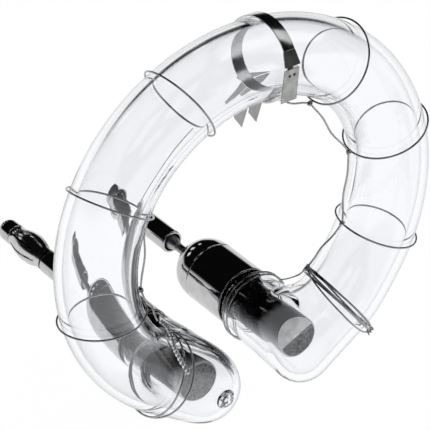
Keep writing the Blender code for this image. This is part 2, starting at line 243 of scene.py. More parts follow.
@dataclass(frozen=True)
class ClearGlass:
    """Hard clear glass with faint streaks from drawing, and painted shade darkening it towards its outline.
    """

    tint: Triple = (0.985, 0.99, 1.0)
    shade: Triple = (0.955, 0.965, 0.985)
    # The edge colour is painted shade, blended in where the surface turns away towards the outline.
    edge: Triple = (0.20, 0.22, 0.26)
    painted_shade_start: float = 0.55
    gloss: float = 0.25
    streak_size: float = 3.0
    relief: float = 0.004

    def make(self, shader: Shader) -> bpy.types.Material:
        """Builds the material."""
        streaks = shader.noise(self.streak_size, 2.0)
        body = shader.blend(streaks, self.tint, self.shade)
        rim = Val(shader, shader.node("ShaderNodeLayerWeight", None, {"Blend": 0.5}).outputs["Facing"])
        return shader.surface(
            # Painted shade: the colour darkens towards the outline, by how far the surface faces away.
            Base_Color=shader.blend(rim.step(self.painted_shade_start, 1.0), body, self.edge),
            Roughness=streaks.step(0.45, 0.9) * 0.01,
            IOR=GLASS_REFRACTION,
            Specular_IOR_Level=self.gloss,
            Transmission_Weight=1.0,
            Normal=shader.bump(streaks, self.relief),
        )


@dataclass(frozen=True)
class WrinkledGlass:
    """Glass drawn to a tip and melted shut, with painted shade darkening its folds."""

    tint: Triple = (0.97, 0.98, 1.0)
    painted_fold_shade: Triple = (0.02, 0.02, 0.03)
    fold_size: float = 1.1
    relief: float = 0.5

    def make(self, shader: Shader) -> bpy.types.Material:
        """Builds the material."""
        waves = shader.noise(self.fold_size, 1.0)
        folds = 1.0 - (waves - 0.5).math("ABSOLUTE").step(0.015, 0.06)
        return shader.surface(
            # Painted shade: the folds are coloured near black.
            Base_Color=shader.blend(folds, self.tint, self.painted_fold_shade),
            Roughness=folds * 0.1,
            IOR=GLASS_REFRACTION,
            Transmission_Weight=1.0,
            Normal=shader.bump(waves, self.relief),
        )


@dataclass(frozen=True)
class Pellet:
    """A pellet with a painted highlight at its front and painted shade behind, blended between two places
    along Y.
    """

    front: float
    back: float
    # The first colour is the painted highlight on the front, the second the painted shade behind it.
    bright: Triple = (0.92, 0.92, 0.94)
    painted_shade: Triple = (0.08, 0.08, 0.09)
    drift: float = 4.0
    relief: float = 0.004

    def make(self, shader: Shader) -> bpy.types.Material:
        """Builds the material."""
        clouds = shader.noise(1.3, 3.0, (1.0, 0.35, 1.0))
        place = shader.axis("Y") + (clouds - 0.5) * (self.drift * MM)
        # Painted light: 0 on the lit front, 1 in the painted shade behind, with a cloudy boundary.
        painted_shade_mask = place.step(self.front * MM, self.back * MM)
        return shader.surface(
            Base_Color=shader.blend(painted_shade_mask, self.bright, self.painted_shade),
            Metallic=0.45 + 0.55 * painted_shade_mask,
            Roughness=0.48 - 0.26 * painted_shade_mask + 0.1 * clouds,
            Normal=shader.bump(clouds, self.relief),
        )


@dataclass(frozen=True)
class Sintered:
    """Pressed and baked metal powder: a grey, open-grained face."""

    tint: Triple = (0.46, 0.46, 0.46)
    shade: Triple = (0.03, 0.03, 0.035)
    pore_size: float = 0.42
    dust_size: float = 0.24
    relief: float = 0.05

    def make(self, shader: Shader) -> bpy.types.Material:
        """Builds the material."""
        pores = shader.cells(self.pore_size).step(0.05, 0.6)
        dust = shader.noise(self.dust_size, 2.0).step(0.38, 0.62)
        return shader.surface(
            Base_Color=shader.blend(pores * 0.5 + dust * 0.5, self.shade, self.tint),
            Metallic=0.3,
            Roughness=0.45 + 0.3 * dust,
            Normal=shader.bump(pores * 0.7 + dust * 0.3, self.relief),
        )


@dataclass(frozen=True)
class WeldedContact:
    """Matt rolled sheet with dark weld marks, placed by X and Z in millimetres from the origin."""

    marks: tuple[tuple[float, float], ...]
    tint: Triple = (0.52, 0.52, 0.52)
    shade: Triple = (0.34, 0.34, 0.34)
    mark_tint: Triple = (0.01, 0.01, 0.01)
    mark_core: float = 0.12
    mark_reach: float = 0.34
    relief: float = 0.006

    def make(self, shader: Shader) -> bpy.types.Material:
        """Builds the material."""
        lines = shader.noise(0.09, 3.0, Grain.UPRIGHT.value)
        stains = shader.noise(1.2, 3.0).step(0.35, 0.65)
        spots = 0.0
        for x, z in self.marks:
            distance = ((shader.axis("X") - x * MM) ** 2 + (shader.axis("Z") - z * MM) ** 2) ** 0.5
            spots = spots + 1.0 - distance.step(self.mark_core * MM, self.mark_reach * MM)
        plain = shader.blend(stains * 0.6 + lines * 0.4, self.tint, self.shade)
        return shader.surface(
            Base_Color=shader.blend(spots, plain, self.mark_tint),
            Metallic=0.7,
            Roughness=0.42 + 0.1 * stains,
            Normal=shader.bump(lines, self.relief),
        )


@dataclass(frozen=True)
class Cement:
    """Pale capping cement with a chalky grain."""

    tint: Triple = (0.85, 0.83, 0.79)
    shade: Triple = (0.62, 0.60, 0.55)
    lump_size: float = 0.4
    relief: float = 0.05

    def make(self, shader: Shader) -> bpy.types.Material:
        """Builds the material."""
        lumps = shader.noise(self.lump_size, 5.0)
        return shader.surface(
            Base_Color=shader.blend(lumps, self.shade, self.tint),
            Roughness=0.75 + 0.2 * lumps,
            Normal=shader.bump(lumps, self.relief),
        )


class Finish(Enum):
    """The lamp's finishes: the record's material slots and a few variants of them."""

    clear_glass = ClearGlass()
    wrinkled_glass = WrinkledGlass()
    chrome = Metal((0.54, 0.54, 0.55), (0.44, 0.44, 0.45), (0.03, 0.07), Grain.AROUND, relief=0.0002)
    spring_steel = Metal((0.60, 0.60, 0.60), (0.48, 0.48, 0.47), (0.12, 0.22), Grain.UPRIGHT, relief=0.0006)
    trigger_wire = Metal((0.36, 0.36, 0.37), (0.24, 0.24, 0.25), (0.10, 0.2))
    # A lighter copy of the trigger wire, standing in for the highlights on the tail's strands.
    painted_highlight_wire = Metal((0.74, 0.74, 0.75), (0.60, 0.60, 0.61), (0.10, 0.2))
    tungsten = Metal((0.30, 0.30, 0.31), (0.20, 0.20, 0.21), (0.22, 0.38), Grain.ALONG)
    # Both electrode finishes paint a highlight on the pellet's front and shade behind it.
    polished_electrode = Pellet(-19.5, -16.8)
    painted_light_electrode_left = Pellet(-22.6, -19.6)
    nickel = Metal((0.62, 0.61, 0.58), (0.50, 0.49, 0.46), (0.18, 0.32))
    solder = Metal((0.46, 0.46, 0.48), (0.34, 0.34, 0.36), (0.35, 0.55), line_width=0.12, relief=0.01)
    cement = Cement()
    matt_contact = Metal((0.40, 0.40, 0.40), (0.33, 0.33, 0.33), (0.38, 0.5), line_width=0.09, relief=0.006)
    welded_contact = WeldedContact(((2.35, 57.2), (3.15, 57.25)))
    sintered_end = Sintered()

    def material(self) -> bpy.types.Material:
        """The finish's material, made on its first use."""
        name = self.name + "_finish"
        return bpy.data.materials.get(name) or self.value.make(Shader(bpy.data.materials.new(name)))


# ---- Shape tools ----

def rounded(outline: Outline, radius: float, steps: int = 4) -> list[tuple[float, float]]:
    """Rounds the corners of an open outline.

    Args:
        outline: (station, radius) pairs in millimetres.
        radius: corner radius in millimetres, less where a side is short.
        steps: short sides that make each corner.

    Returns:
        The new pairs.
    """
    points = [Vector(pair) for pair in outline]
    made = [points[0]]
    for before, corner, after in zip(points, points[1:], points[2:]):
        back = before - corner
        ahead = after - corner
        cut = min(radius, back.length * 0.45, ahead.length * 0.45)
        start = corner + back.normalized() * cut
        end = corner + ahead.normalized() * cut
        for i in range(steps + 1):
            share = i / steps
            made.append(start.lerp(corner, share).lerp(corner.lerp(end, share), share))
    made.append(points[-1])
    return [(point.x, point.y) for point in made]


def shaded(mesh: bpy.types.Mesh, sharp: float = 40.0) -> bpy.types.Mesh:
    """Points a mesh's faces outwards and shades it smooth up to an edge angle in degrees."""
    shape = bmesh.new()
    shape.from_mesh(mesh)
    bmesh.ops.remove_doubles(shape, verts=shape.verts, dist=1e-7)
    bmesh.ops.recalc_face_normals(shape, faces=shape.faces)
    shape.to_mesh(mesh)
    shape.free()
    mesh.shade_smooth()
    mesh.set_sharp_from_angle(angle=radians(sharp))
    return mesh


def grid_mesh(name: str, rows: Sequence[Sequence[Vector]], close_rows: bool, close_columns: bool,
              sharp: float = 40.0) -> bpy.types.Mesh:
    """Makes a skin over rows of points.

    Args:
        name: the mesh's name.
        rows: rows of equally many points.
        close_rows: whether the last row joins the first.
        close_columns: whether each row is a ring.
        sharp: edges over this angle in degrees stay sharp.

    Returns:
        The mesh, with its ends capped where the rows are rings and don't close.
    """
    width = len(rows[0])
    faces = []
    for i in range(len(rows) if close_rows else len(rows) - 1):
        below = i * width
        above = (i + 1) % len(rows) * width
        for k in range(width if close_columns else width - 1):
            after = (k + 1) % width
            faces.append((below + k, below + after, above + after, above + k))
    if close_columns and not close_rows:
        faces.append(tuple(range(width)))
        faces.append(tuple(range((len(rows) - 1) * width, len(rows) * width)))
    mesh = bpy.data.meshes.new(name)
    mesh.from_pydata([point for row in rows for point in row], [], faces)
    return shaded(mesh, sharp)


def lathe_mesh(name: str, outline: Outline, origin: Vector, sides: int = 96, bore: Outline = (),
               axis: Vector = BACK) -> bpy.types.Mesh:
    """Turns an outline about an axis.

    Args:
        name: the mesh's name.
        outline: (station, radius) pairs in millimetres, front to back.
        origin: the point on the axis at station 0.
        sides: steps round the axis.
        bore: the pairs of an inner wall, front to back; without them the piece is solid.
        axis: the direction in which stations grow.

    Returns:
        The closed mesh.
    """
    turn_to = Vector((0.0, 0.0, 1.0)).rotation_difference(axis).to_matrix()
    turns = [tau * k / sides for k in range(sides)]
    rows = []
    for station, radius in list(outline) + list(reversed(bore)):
        ring = [Vector((radius * cos(turn), radius * sin(turn), station)) for turn in turns]
        rows.append([origin + turn_to @ point * MM for point in ring])
    return grid_mesh(name, rows, bool(bore), True)


def tube_rows(points: Sequence[Vector], radius: float, closed: bool, sides: int = 10) -> list[list[Vector]]:
    """Rings of points along a route.

    Args:
        points: the route, in metres.
        radius: the wire's radius in millimetres.
        closed: whether the route's end joins its start.
        sides: points in each ring.

    Returns:
        The rings, kept from twisting.
    """
    count = len(points)
    tangents = []
    for i in range(count):
        before = points[(i - 1) % count] if closed or i else points[i]
        after = points[(i + 1) % count] if closed or i < count - 1 else points[i]
        tangents.append((after - before).normalized())
    side = tangents[0].orthogonal().normalized()
    rows = []
    for point, tangent in zip(points, tangents):
        side = (side - tangent * side.dot(tangent)).normalized()
        up = tangent.cross(side)
        rows.append([point + (side * cos(tau * k / sides) + up * sin(tau * k / sides)) * radius * MM
                     for k in range(sides)])
    return rows


def smooth_route(points: Sequence[Vector], steps: int) -> list[Vector]:
    """Runs a smooth curve through the points.

    Args:
        points: the points to pass through.
        steps: short sides between neighbours.

    Returns:
        The curve's points.
    """
    last = len(points) - 1
    made = []
    for i in range(last):
        a, b, c, d = (points[min(max(i + k, 0), last)] for k in (-1, 0, 1, 2))
        for k in range(steps):
            t = k / steps
            made.append(0.5 * (2 * b + (c - a) * t + (2 * a - 5 * b + 4 * c - d) * t * t
                               + (3 * b - a - 3 * c + d) * t ** 3))
    made.append(points[-1])
    return made


def show(name: str, mesh: bpy.types.Mesh, finish: Finish, body: str = "lamp",
         replaces: Sequence[str] = ()) -> bpy.types.Object:
    """Adds a piece to the scene.

    Args:
        name: the piece's name.
        mesh: its mesh, in the lamp's frame.
        finish: what it is made of.
        body: the CAD body that it rides on.
        replaces: the CAD nodes that it stands for.

    Returns:
        The new object.
    """
    piece = bpy.data.objects.new(name, mesh)
    bpy.context.scene.collection.objects.link(piece)
    mesh.materials.append(finish.material())
    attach(piece, body)
    if replaces:
        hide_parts(*replaces)
    LOG.info("%s: %d faces on %s", name, len(mesh.polygons), body)
    return piece


# ---- Where things are ----

@dataclass
class Layout:
    """The lamp's skeleton: the ring's centre line and the two legs, set from the CAD nodes' places."""

    ring_radius: float = 26.3
    tube_radius: float = 6.0
    draw_in_angle: float = radians(57.0)
    draw_in_rate: float = 2.94
    elbow_angle: float = radians(36.6)
    elbow_forward: float = 0.7
    plug_tip: float = 51.4

    def __post_init__(self) -> None:
        """Reads the ring's centre and the legs' axes from the frame."""
        left_low, left_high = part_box("left_plug_pin")
        right_low, right_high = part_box("right_plug_pin")
        glass_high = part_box("glass_envelope")[1]
        leg_x = (right_low.x + right_high.x) / 2.0
        self.centre = Vector((0.0, left_high.y - self.plug_tip * MM,
                              glass_high.z - (self.ring_radius + self.tube_radius) * MM))
        self.leg_x = leg_x / MM
        self.leg_z = (left_low.z + left_high.z) / 2.0 / MM - self.centre.z / MM

    def at(self, x: float, y: float, z: float) -> Vector:
        """Point in metres, from millimetres relative to the ring's centre."""
        return self.centre + Vector((x, y, z)) * MM

    def radius_at(self, angle: float) -> float:
        """Radius of the ring's centre line, drawn in a little next to the elbows."""
        from_bottom = min(angle % tau, tau - angle % tau)
        return self.ring_radius - self.draw_in_rate * max(0.0, self.draw_in_angle - from_bottom) ** 2

    def forward_at(self, angle: float) -> float:
        """How far the centre line stands in front of the ring's plane, next to the elbows."""
        from_bottom = min(angle % tau, tau - angle % tau)
        share = (self.draw_in_angle - from_bottom) / (self.draw_in_angle - self.elbow_angle)
        share = min(max(share, 0.0), 1.0)
        return self.elbow_forward * share * share * (3.0 - 2.0 * share)

    def outward(self, angle: float) -> Vector:
        """Unit vector from the ring's centre towards a ring angle."""
        return Vector((sin(angle), 0.0, -cos(angle)))

    def around(self, angle: float, turn: float, distance: float) -> Vector:
        """Point in metres at a distance from the ring's centre line, at a turn angle around the glass."""
        reach = self.outward(angle) * (self.radius_at(angle) + distance * cos(turn))
        return self.centre + (reach - BACK * (distance * sin(turn) + self.forward_at(angle))) * MM

    def leg(self, side: int, station: float = 0.0) -> Vector:
        """Point in metres on a leg's axis; side is -1 on the left and 1 on the right."""
        return self.at(side * self.leg_x, station, self.leg_z)


@dataclass
class GlassEnvelope:
    """The hollow glass: ring, two elbows and two legs in one piece, with its sealed exhaust tip."""

    layout: Layout
    wall: float = 1.2
    crotch_radius: float = 1.2
    corner_shift: float = 1.5
    tip_offset: float = 1.0
    elbow_end_radius: float = 5.5
    sides: int = 72
    ring_steps: int = 60
    elbow_steps: int = 28
    squareness: float = 2.2
    leg_corner: float = 0.6
    leg_outside: Outline = ((8.8, 5.25), (10.6, 5.05), (12.2, 5.0), (12.6, 4.4), (18.0, 4.4), (19.6, 3.9),
                            (21.2, 2.2), (23.0, 1.9))
    leg_inside: Outline = ((8.8, 4.15), (10.6, 3.95), (12.2, 3.9), (12.6, 3.6), (18.0, 3.5), (19.6, 2.9),
                           (21.2, 1.3), (23.0, 1.05))
    tip: Outline = ((-0.55, 0.5), (-0.5, 0.85), (-0.36, 1.0), (-0.42, 1.15), (-0.1, 1.45), (0.05, 1.58),
                    (0.1, 0.2))

    def __post_init__(self) -> None:
        """Works out where the right-hand elbow bends."""
        layout = self.layout
        step = 1e-5
        start = layout.outward(layout.elbow_angle) * layout.radius_at(layout.elbow_angle)
        before = layout.outward(layout.elbow_angle + step) * layout.radius_at(layout.elbow_angle + step)
        self.heading = (start - before).normalized()
        self.side = Vector((-self.heading.z, 0.0, self.heading.x))
        if self.side.dot(start) < 0.0:
            self.side = -self.side
        self.bend = layout.tube_radius + self.crotch_radius
        self.pivot = start + BACK * (self.bend - layout.elbow_forward)

    def reach(self, sweep: float, radius: float) -> float:
        """Distance from the elbow's pivot to its outer wall: two straight walls with a round corner."""
        centre = self.bend + self.corner_shift
        tangent = atan2(centre, self.bend + radius)
        if sweep < tangent or sweep > pi / 2 - tangent:
            return (self.bend + radius) / max(cos(sweep), sin(sweep))
        along = centre * (cos(sweep) + sin(sweep))
        return along + ((radius - self.corner_shift) ** 2 - 2.0 * centre ** 2 + along ** 2) ** 0.5

    def elbow_row(self, sweep: float, wall: float) -> list[Vector]:
        """One ring of points through the elbow, in millimetres."""
        share = max(0.0, sweep / (pi / 4) - 1.0)
        ease = share * share * (3.0 - 2.0 * share)
        radius = self.layout.tube_radius + (self.elbow_end_radius - self.layout.tube_radius) * ease - wall
        inner = self.bend - radius
        outer = self.reach(sweep, radius)
        across = self.heading * sin(sweep) - BACK * cos(sweep)
        centre = self.pivot + across * (inner + outer) / 2.0
        return self.row(centre, across, self.side, radius, (outer - inner) / 2.0 - radius)

    def row(self, centre: Vector, across: Vector, side: Vector, radius: float,
            flat: float = 0.0) -> list[Vector]:
        """One ring of points, in millimetres.

        Args:
            centre: the ring's centre.
            across: its unit axis away from the elbow's pivot.
            side: its other unit axis.
            radius: radius of its round ends.
            flat: half the length of its flat sides.

        Returns:
            The points.
        """
        made = []
        for k in range(self.sides):
            turn = tau * k / self.sides
            stretch = flat * tanh(self.squareness * sin(turn)) / tanh(self.squareness)
            made.append(centre + side * radius * cos(turn) + across * (radius * sin(turn) + stretch))
        return made

    def skin(self, wall: float, leg: Outline) -> list[list[Vector]]:
        """Rings of points from one leg's end round to the other's, in metres."""
        layout = self.layout
        radius = layout.tube_radius - wall
        half = []
        for i in range(self.ring_steps):
            angle = pi + (layout.elbow_angle - pi) * i / self.ring_steps
            outward = layout.outward(angle)
            centre = outward * layout.radius_at(angle) - BACK * layout.forward_at(angle)
            half.append(self.row(centre, -BACK, outward, radius))
        half += [self.elbow_row(pi / 2 * i / self.elbow_steps, wall) for i in range(self.elbow_steps + 1)]
        for station, leg_radius in rounded(leg, self.leg_corner, 3):
            centre = Vector((layout.leg_x, station, layout.leg_z))
            half.append(self.row(centre, self.heading, self.side, leg_radius))
        mirrored = [[Vector((-p.x, p.y, p.z)) for p in ring] for ring in half[:0:-1]]
        return [[layout.centre + p * MM for p in ring] for ring in mirrored + half]

    def build(self) -> None:
        """Makes the glass and its exhaust tip."""
        outside = self.skin(0.0, self.leg_outside)
        inside = self.skin(self.wall, self.leg_inside)
        mesh = grid_mesh("glass", outside + inside[::-1], True, True, 60.0)
        show("clear_glass_ring", mesh, Finish.clear_glass, replaces=["glass_envelope"])
        front = self.layout.leg(-1, -self.layout.tube_radius - self.layout.elbow_forward)
        front.x += self.tip_offset * MM
        mesh = lathe_mesh("exhaust_tip", rounded(self.tip, 0.15), front)
        show("exhaust_tip", mesh, Finish.wrinkled_glass)


@dataclass
class LegPart:
    """What sits on one leg's axis; side is -1 on the left and 1 on the right."""

    layout: Layout
    side: int
    prefix: str

    def __post_init__(self) -> None:
        """Finds station 0 on the leg's axis."""
        self.origin = self.layout.leg(self.side)

    def add(self, node: str, mesh: bpy.types.Mesh, finish: Finish, slot: Finish | None = None,
            body: str = "lamp") -> bpy.types.Object:
        """Shows the piece that stands for one of the leg's CAD nodes."""
        name = f"{self.prefix}_{node}"
        return show(name + "_piece", mesh, finish, body, [name])


@dataclass
class Electrode(LegPart):
    """A sintered pellet with its crimped collar, on the rod that leads out to the plug."""

    radius: float
    finish: Finish
    cut: bool
    cut_slope: float = radians(20.0)
    cut_towards: Triple = (-0.43, 0.0, 0.90)
    cut_height: float = 0.2
    cut_facing: float = 0.8
    cut_area: float = 1.0
    end_facing: float = 0.95
    stations: tuple[float, ...] = (-0.6, -0.35, 11.0, 12.1, 12.6)
    taper: tuple[float, ...] = (0.35, 0.0, 0.0, 0.5, 1.2)
    collar: Outline = ((13.1, 1.2), (13.15, 1.6), (13.4, 1.7), (15.3, 1.7), (15.55, 1.6), (15.6, 1.2))
    collar_bore: Outline = ((13.1, 1.0), (15.6, 1.0))
    rod: Outline = ((12.9, 0.6), (13.1, 0.7), (30.05, 0.7), (30.2, 0.55))

    def build(self) -> None:
        """Makes the pellet, the collar and the rod."""
        origin = self.origin
        outline = [(station, self.radius - taper) for station, taper in zip(self.stations, self.taper)]
        mesh = lathe_mesh("pellet", rounded(outline, 0.2), origin)
        if self.cut:
            self.chamfer(mesh)
        pellet = self.add("electrode_pellet", mesh, self.finish, Finish.polished_electrode)
        for finish in (Finish.sintered_end, Finish.spring_steel):
            pellet.data.materials.append(finish.material())
        for face in pellet.data.polygons:
            if face.normal.y < -self.end_facing:
                face.material_index = 1
            elif self.cut and face.normal.y < -self.cut_facing and face.area > self.cut_area * MM ** 2:
                face.material_index = 2
        mesh = lathe_mesh("collar", rounded(self.collar, 0.12), origin, bore=self.collar_bore)
        self.add("electrode_collar", mesh, Finish.nickel)
        self.add("lead_rod", lathe_mesh("rod", rounded(self.rod, 0.1), origin, 48), Finish.tungsten)

    def chamfer(self, mesh: bpy.types.Mesh) -> None:
        """Cuts a sloping flat off the top of the pellet's front end."""
        rise = Vector(self.cut_towards)
        normal = rise * sin(self.cut_slope) - BACK * cos(self.cut_slope)
        place = self.origin + rise * self.cut_height * self.radius * MM + BACK * self.stations[0] * MM
        shape = bmesh.new()
        shape.from_mesh(mesh)
        parts = shape.verts[:] + shape.edges[:] + shape.faces[:]
        made = bmesh.ops.bisect_plane(shape, geom=parts, dist=1e-7, plane_co=place, plane_no=normal,
                                      clear_outer=True)
        rim = [part for part in made["geom_cut"] if isinstance(part, bmesh.types.BMEdge)]
        bmesh.ops.contextual_create(shape, geom=rim)
        shape.to_mesh(mesh)
        shape.free()
        shaded(mesh, 25.0)


@dataclass
class EndCap(LegPart):
    """The domed cap over a leg's end, rolled at its front edge and grooved at its seam."""

    wall: float = 0.35
    outline: Outline = ((13.0, 4.7), (13.02, 4.95), (13.25, 5.0), (21.2, 5.0), (21.28, 4.9), (21.36, 4.9),
                        (21.45, 5.0), (23.2, 4.92), (24.4, 4.6), (25.3, 4.05), (26.0, 3.5), (26.4, 3.0),
                        (26.4, 1.1))
    bore: Outline = ((13.0, 4.65), (21.3, 4.6), (22.9, 4.55), (24.1, 4.2), (25.0, 3.6), (26.05, 2.8),
                     (26.05, 1.1))

    def build(self) -> None:
        """Makes the cap."""
        mesh = lathe_mesh("cap", rounded(self.outline, 0.5, 5), self.origin, 128, self.bore)
        self.add("end_cap", mesh, Finish.chrome)


@dataclass
class Plug(LegPart):
    """A plug: solder joint, sleeve, nosed pin and the slotted spring cage that turns on the pin."""

    leaves: int = 8
    slot_share: float = 0.2
    collar_radius: float = 1.76
    bulge: float = 0.62
    leaf_thickness: float = 0.24
    sheet: tuple[float, float, float, float] = (39.0, 40.6, 46.9, 47.6)
    solder: Outline = ((30.5, 0.5), (30.52, 0.72), (31.1, 0.85), (31.9, 1.12), (32.7, 1.2), (33.3, 1.2))
    leaf_rows: int = 20
    leaf_columns: int = 8
    sleeve: Outline = ((32.1, 1.55), (32.1, 1.72), (32.24, 1.85), (38.56, 1.85), (38.7, 1.72), (38.7, 1.5))
    sleeve_bore: Outline = ((32.1, 1.52), (38.7, 1.49))
    pin: Outline = ((33.7, 1.2), (47.9, 1.2), (47.9, 1.62), (48.05, 1.75), (50.1, 1.75), (50.7, 1.5),
                    (51.2, 1.0), (51.4, 0.55))

    def leaf_radius(self, station: float) -> float:
        """Outer radius of the cage at a station."""
        _, front, back, _ = self.sheet
        share = min(max((station - front) / (back - front), 0.0), 1.0)
        return self.collar_radius + self.bulge * sin(pi * share)

    def cage_mesh(self) -> bpy.types.Mesh:
        """The cage: one sheet, open between its leaves, given its thickness."""
        start, front, back, end = self.sheet
        rows = self.leaf_rows
        stations = [start, front] + [front + (back - front) * i / rows for i in range(1, rows)] + [back, end]
        columns = self.leaf_columns
        turns = []
        for leaf in range(self.leaves):
            middle = tau * (leaf + 0.5) / self.leaves
            half = tau / self.leaves * (1.0 - self.slot_share) / 2.0
            turns += [middle + half * (2.0 * k / columns - 1.0) for k in range(columns + 1)]
        origin = self.origin
        points = []
        for station in stations:
            radius = (self.leaf_radius(station) - self.leaf_thickness) * MM
            points += [origin + Vector((radius * cos(t), station * MM, radius * sin(t))) for t in turns]
        width = len(turns)
        faces = []
        for row in range(len(stations) - 1):
            for k in range(width):
                if 1 <= row <= rows and k % (columns + 1) == columns:
                    continue
                after = (k + 1) % width
                below = row * width
                faces.append((below + k, below + after, below + width + after, below + width + k))
        mesh = bpy.data.meshes.new("cage")
        mesh.from_pydata(points, [], faces)
        shape = bmesh.new()
        shape.from_mesh(mesh)
        bmesh.ops.recalc_face_normals(shape, faces=shape.faces)
        middle = origin + BACK * (start + end) / 2.0 * MM
        outward = sum(face.normal.dot(face.calc_center_median() - middle) for face in shape.faces)
        if outward < 0.0:
            bmesh.ops.reverse_faces(shape, faces=shape.faces)
        bmesh.ops.solidify(shape, geom=shape.faces, thickness=-self.leaf_thickness * MM)
        shape.to_mesh(mesh)
        shape.free()
        return shaded(mesh, 40.0)

    def build(self) -> None:
        """Makes the plug's four pieces."""
        origin = self.origin
        mesh = lathe_mesh("solder", rounded(self.solder, 0.4), origin, 64)
        self.add("solder_joint", mesh, Finish.solder)
        mesh = lathe_mesh("sleeve", rounded(self.sleeve, 0.05), origin, 96, self.sleeve_bore)
        self.add("plug_sleeve", mesh, Finish.chrome)
        self.add("plug_pin", lathe_mesh("pin", rounded(self.pin, 0.3), origin, 96), Finish.chrome)
        self.add("spring_cage", self.cage_mesh(), Finish.spring_steel, body=self.prefix + "_cage")


@dataclass
class TriggerWire:
    """The fine wire: single turns round the ring, slightly bowed spines and bundles at both ends.

    Places on the glass are a ring angle and a turn angle in degrees. Each loop has its ring angle, the
    lean of its plane and the turn angle that it leans to.
    """

    layout: Layout
    line: float = 6.45
    spine_line: float = 7.0
    loop_steps: int = 96
    loops: tuple[tuple[str, float, float, float], ...] = (
        ("wire_loop_lower_right", 67.3, 1.8, 300.0),
        ("wire_loop_mid_right", 104.2, 1.3, 357.0),
        ("wire_loop_upper_right", 143.9, 0.6, 288.0),
        ("wire_loop_upper_left", 205.9, 1.5, 309.0),
        ("wire_loop_mid_left", 243.8, 1.8, 247.0),
        ("wire_loop_lower_left", 285.3, 2.9, 205.0),
        ("wire_end_turn_left_outer", 321.9, 1.6, 56.0),
        ("wire_end_turn_left_inner", 319.9, 3.0, 346.0),
        ("wire_end_turn_right_outer", 39.0, 1.0, 270.0),
        ("wire_end_turn_right_inner", 40.7, 1.5, 215.0),
    )
    left_spine: Outline = ((205.9, 180.0), (244.0, 180.0), (285.0, 180.0), (311.5, 196.0))
    right_spine: Outline = ((169.5, 180.0), (143.9, 180.0), (104.2, 180.0), (67.3, 180.0), (42.8, 203.0))
    leg_turns: tuple[tuple[str, float], ...] = (("wire_leg_turn_front", 9.9), ("wire_leg_turn_back", 10.7))
    leg_line: float = 5.6
    bow: float = 0.35
    bow_phase: float = 0.6
    bow_steps: int = 12
    end_knots: tuple[tuple[str, float, float, float], ...] = (
        ("wire_crotch_knot", 41.4, 203.0, 3.0),
        ("wire_outer_knot", 38.4, 42.0, 2.5),
    )
    knot_coil: float = 0.3
    knot_pitch: float = 0.9
    knot_wire: float = 0.12
    link_line: float = 5.7
    link_starts: tuple[float, ...] = (0.95, 0.6)
    link_places: tuple[Triple, ...] = ((37.0, 216.0, 6.8), (41.4, 203.0, 7.2))
    strands: tuple[tuple[float, float, float, float], ...] = (
        (41.0, 37.0, 38.6, 0.15),
        (41.4, 41.0, 38.8, 0.1),
        (40.6, 31.5, 38.3, 0.0),
    )
    strand_turns: tuple[float, float] = (200.0, 42.0)
    strand_lift: float = 0.25
    strand_wire: float = 0.13
    tail: Outline = ((310.2, 188.0), (309.0, 170.0), (308.8, 152.0), (309.8, 138.0), (313.8, 127.0),
                     (318.5, 118.0))
    tail_line: float = 7.05
    tail_coil: float = 0.19
    tail_twists: float = 8.0
    tail_steps: int = 24
    tail_wire: float = 0.17

    def add(self, name: str, points: Sequence[Vector], closed: bool, replaces: Sequence[str] = (),
            radius: float = 0.15, finish: Finish = Finish.trigger_wire) -> None:
        """Shows one wire along a route."""
        rows = tube_rows(points, radius, closed)
        show(name, grid_mesh(name, rows, closed, True, 60.0), finish, replaces=replaces)

    def turn_round(self, angle: float, lean: float, lean_turn: float, line: float) -> list[Vector]:
        """Route of one turn round the ring's glass."""
        made = []
        for i in range(self.loop_steps):
            turn = tau * i / self.loop_steps
            station = radians(angle + lean * cos(turn - radians(lean_turn)))
            made.append(self.layout.around(station, turn, line))
        return made

    def build(self) -> None:
        """Makes every wire."""
        for name, angle, lean, lean_turn in self.loops:
            self.add(name + "_piece", self.turn_round(angle, lean, lean_turn, self.line), True, [name])
        for name, station in self.leg_turns:
            turns = [tau * i / self.loop_steps for i in range(self.loop_steps)]
            route = [self.on_leg(station, turn, self.leg_line) for turn in turns]
            self.add(name + "_piece", route, True, [name])
        for name, places in (("wire_spine_left", self.left_spine), ("wire_spine_right", self.right_spine)):
            self.add(name + "_piece", self.bowed(places), False, [name])
            for number, (angle, turn) in enumerate(places[1:-1], 1):
                self.add_knot(f"{name}_knot_{number}", angle, turn)
        for name, angle, turn, twists in self.end_knots:
            self.add_knot(name, angle, turn, twists)
        link = [self.on_leg(self.leg_turns[0][1], turn, self.link_line) for turn in self.link_starts]
        link += [self.on_ring(*place) for place in self.link_places]
        self.add("wire_link", smooth_route(link, 10), False, radius=self.strand_wire)
        self.build_strands()
        self.build_tail()

    def on_ring(self, angle: float, turn: float, line: float) -> Vector:
        """Point in metres at a place on the ring's glass, at a distance from its centre line."""
        return self.layout.around(radians(angle), radians(turn), line)

    def on_leg(self, station: float, turn: float, line: float) -> Vector:
        """Point in metres at a distance from the right leg's axis."""
        return self.layout.leg(1, station) + Vector((cos(turn), 0.0, sin(turn))) * line * MM

    def bowed(self, places: Outline) -> list[Vector]:
        """Route through places on the glass, bowed a little between them."""
        marks = [self.on_ring(angle, turn, self.spine_line) for angle, turn in places]
        route = []
        for before, after in zip(marks, marks[1:]):
            outward = ((before + after) / 2.0 - self.layout.centre).normalized()
            for i in range(self.bow_steps):
                share = i / self.bow_steps
                sag = sin(pi * share) ** 2 * sin(tau * share + self.bow_phase)
                route.append(before.lerp(after, share) + outward * sag * self.bow * MM)
        route.append(marks[-1])
        return route

